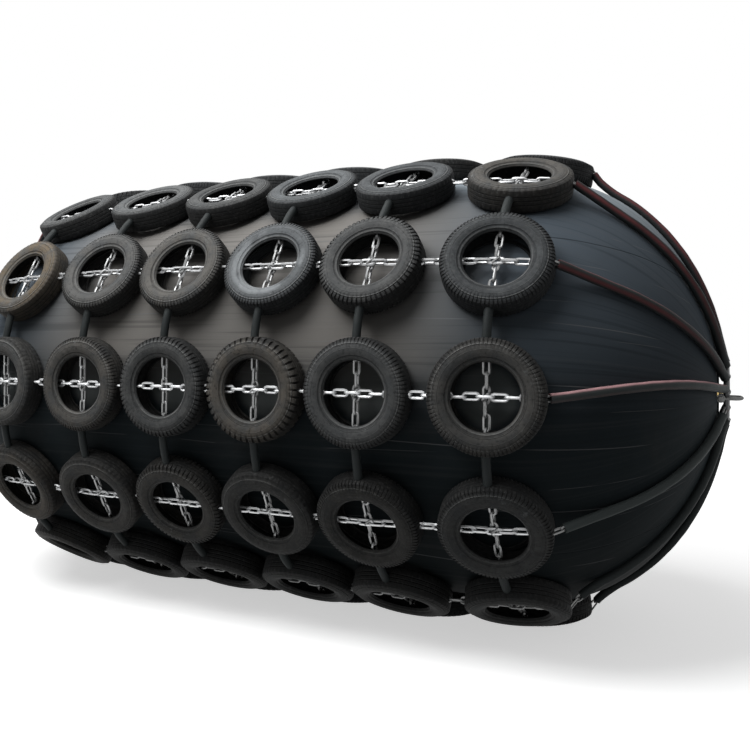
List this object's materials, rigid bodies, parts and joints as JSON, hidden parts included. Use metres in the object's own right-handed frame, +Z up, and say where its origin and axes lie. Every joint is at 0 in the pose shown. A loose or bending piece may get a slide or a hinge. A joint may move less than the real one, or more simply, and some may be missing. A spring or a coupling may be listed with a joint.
{
  "type": "pneumatic ship fender",
  "caption": "Hollow rubber ship fender with domed ends, wrapped in a net of chains and used truck tyres, with a tow ring and swinging shackle at each end.",
  "frame": {"origin": "on the ground, under the middle of the fender, where the lowest row of tyres stands", "axes": "+X along the fender towards the end with the inflation valve, +Z up, row 01 of the tyres faces -Y"},
  "size_m": [9.404, 5.0366, 5.0366],
  "materials": {
    "body": "matte charcoal rubber with faint wrap lines, scratches and dust",
    "tyre": "worn, dusty used tyre rubber",
    "sleeve": "dark rubber hose, slightly reddish on some end chains",
    "gasket": "black sheet rubber",
    "steel": "dark painted steel",
    "galvanised": "hot-dip galvanised steel",
    "spring": "bare spring steel",
    "brass": "dull cast brass",
    "lever": "dull red paint"
  },
  "bodies": {
    "fender": {"fender_body": "body", "tyre_row_01": "tyre", "tyre_row_02": "tyre", "tyre_row_03": "tyre", "tyre_row_04": "tyre", "tyre_row_05": "tyre", "tyre_row_06": "tyre", "tyre_row_07": "tyre", "tyre_row_08": "tyre", "tyre_row_09": "tyre", "tyre_row_10": "tyre", "tyre_row_11": "tyre", "tyre_row_12": "tyre", "end_chain_right_01": "sleeve", "end_chain_right_02": "sleeve", "end_chain_right_03": "sleeve", "end_chain_right_04": "sleeve", "end_chain_right_05": "sleeve", "end_chain_right_06": "sleeve", "end_chain_right_07": "sleeve", "end_chain_right_08": "sleeve", "end_chain_right_09": "sleeve", "end_chain_right_10": "sleeve", "end_chain_right_11": "sleeve", "end_chain_right_12": "sleeve", "end_chain_left_01": "sleeve", "end_chain_left_02": "sleeve", "end_chain_left_03": "sleeve", "end_chain_left_04": "sleeve", "end_chain_left_05": "sleeve", "end_chain_left_06": "sleeve", "end_chain_left_07": "sleeve", "end_chain_left_08": "sleeve", "end_chain_left_09": "sleeve", "end_chain_left_10": "sleeve", "end_chain_left_11": "sleeve", "end_chain_left_12": "sleeve", "bead_ring_right": "steel", "bead_ring_left": "steel", "flange_gasket_right": "gasket", "flange_gasket_left": "gasket", "end_flange_right": "steel", "end_flange_left": "steel", "tow_ring_right": "steel", "tow_ring_left": "steel", "inflation_valve": "brass", "valve_cap": "brass", "safety_housing": "brass", "safety_spring": "spring"},
    "shackle_right": {"tow_shackle_right": "galvanised", "shackle_pin_right": "galvanised", "shackle_nut_right": "galvanised"},
    "shackle_left": {"tow_shackle_left": "galvanised", "shackle_pin_left": "galvanised", "shackle_nut_left": "galvanised"},
    "lever": {"valve_lever": "lever"},
    "poppet": {"safety_poppet": "brass"}
  },
  "joints": [
    {"name": "shackle_swing_right", "type": "hinge", "parent": "fender", "child": "shackle_right", "pos_m": [4.54913, -0.2654, 2.48336], "axis": [0, -0.1305, 0.9914], "range_deg": [-60, 60]},
    {"name": "shackle_swing_left", "type": "hinge", "parent": "fender", "child": "shackle_left", "pos_m": [-4.54913, -0.2654, 2.48336], "axis": [0, -0.1305, 0.9914], "range_deg": [-60, 60]},
    {"name": "valve_lever_turn", "type": "hinge", "parent": "fender", "child": "lever", "pos_m": [4.46043, 0, 2.5183], "axis": [0, 0, -1], "range_deg": [0, 90]},
    {"name": "safety_poppet_lift", "type": "slide", "parent": "fender", "child": "poppet", "axis": [-1, 0, 0], "range_m": [0, 0.008], "stiffness_N_per_m": 500, "springref_m": -0.01, "deforming": ["safety_spring"]}
  ]
}
